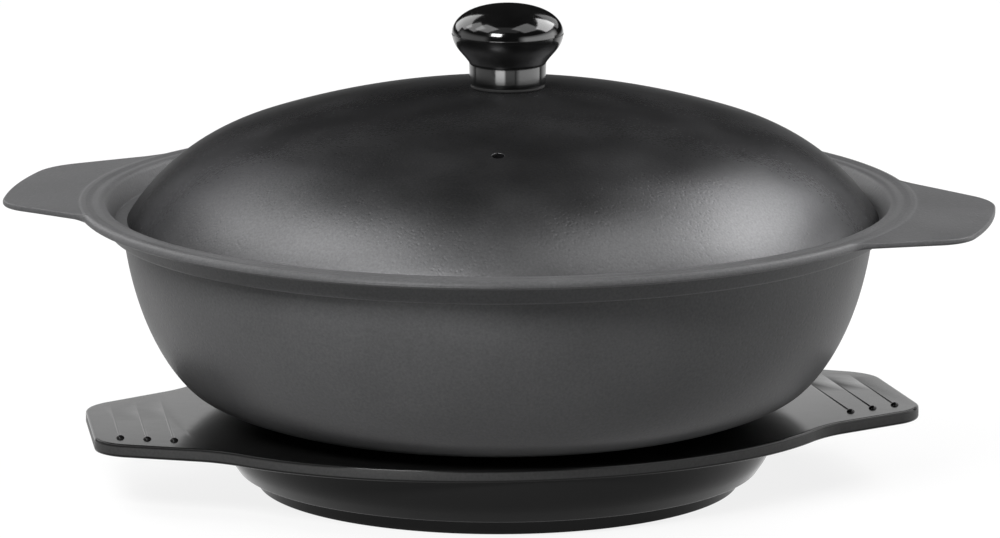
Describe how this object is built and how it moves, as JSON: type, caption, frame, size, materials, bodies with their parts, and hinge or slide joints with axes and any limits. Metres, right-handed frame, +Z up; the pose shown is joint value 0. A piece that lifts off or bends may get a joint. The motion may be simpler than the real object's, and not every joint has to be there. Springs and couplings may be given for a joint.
{
  "type": "lidded casserole pot on an under-tray",
  "caption": "Wide cast iron pot with two wing handles and a loose domed lid with a knob, standing on a low black under-tray with two grooved wings.",
  "frame": {"origin": "centre of the under-tray's foot ring, on the surface the set stands on", "axes": "+X along the pot's two wing handles, +Z up, -Y towards the side with the lid's steam vent"},
  "size_m": [0.331, 0.28, 0.1614],
  "materials": {
    "tray_lacquer": "black satin lacquer over turned wood",
    "cast_iron": "fine matt black casting skin, seasoned",
    "lid_iron": "fine speckled grey-black casting skin with a dull sheen",
    "gasket_rubber": "matt black",
    "knob_phenolic": "polished black phenolic moulding",
    "insert_brass": "turned brass",
    "washer_steel": "plain stainless steel",
    "spring_steel": "tempered steel, plated",
    "screw_steel": "bright stainless steel"
  },
  "bodies": {
    "trivet": {"trivet_tray": "tray_lacquer"},
    "pot": {"pot_body": "cast_iron"},
    "lid": {"lid_shell": "lid_iron", "knob_gasket": "gasket_rubber", "knob": "knob_phenolic", "knob_insert": "insert_brass", "lid_washer": "washer_steel", "spring_washer": "spring_steel", "knob_screw": "screw_steel"}
  },
  "joints": [
    {"name": "pot_lift", "type": "slide", "parent": "trivet", "child": "pot", "axis": [0, 0, 1], "range_m": [0, 0.1]},
    {"name": "lid_lift", "type": "slide", "parent": "pot", "child": "lid", "axis": [0, 0, 1], "range_m": [0, 0.12]}
  ]
}
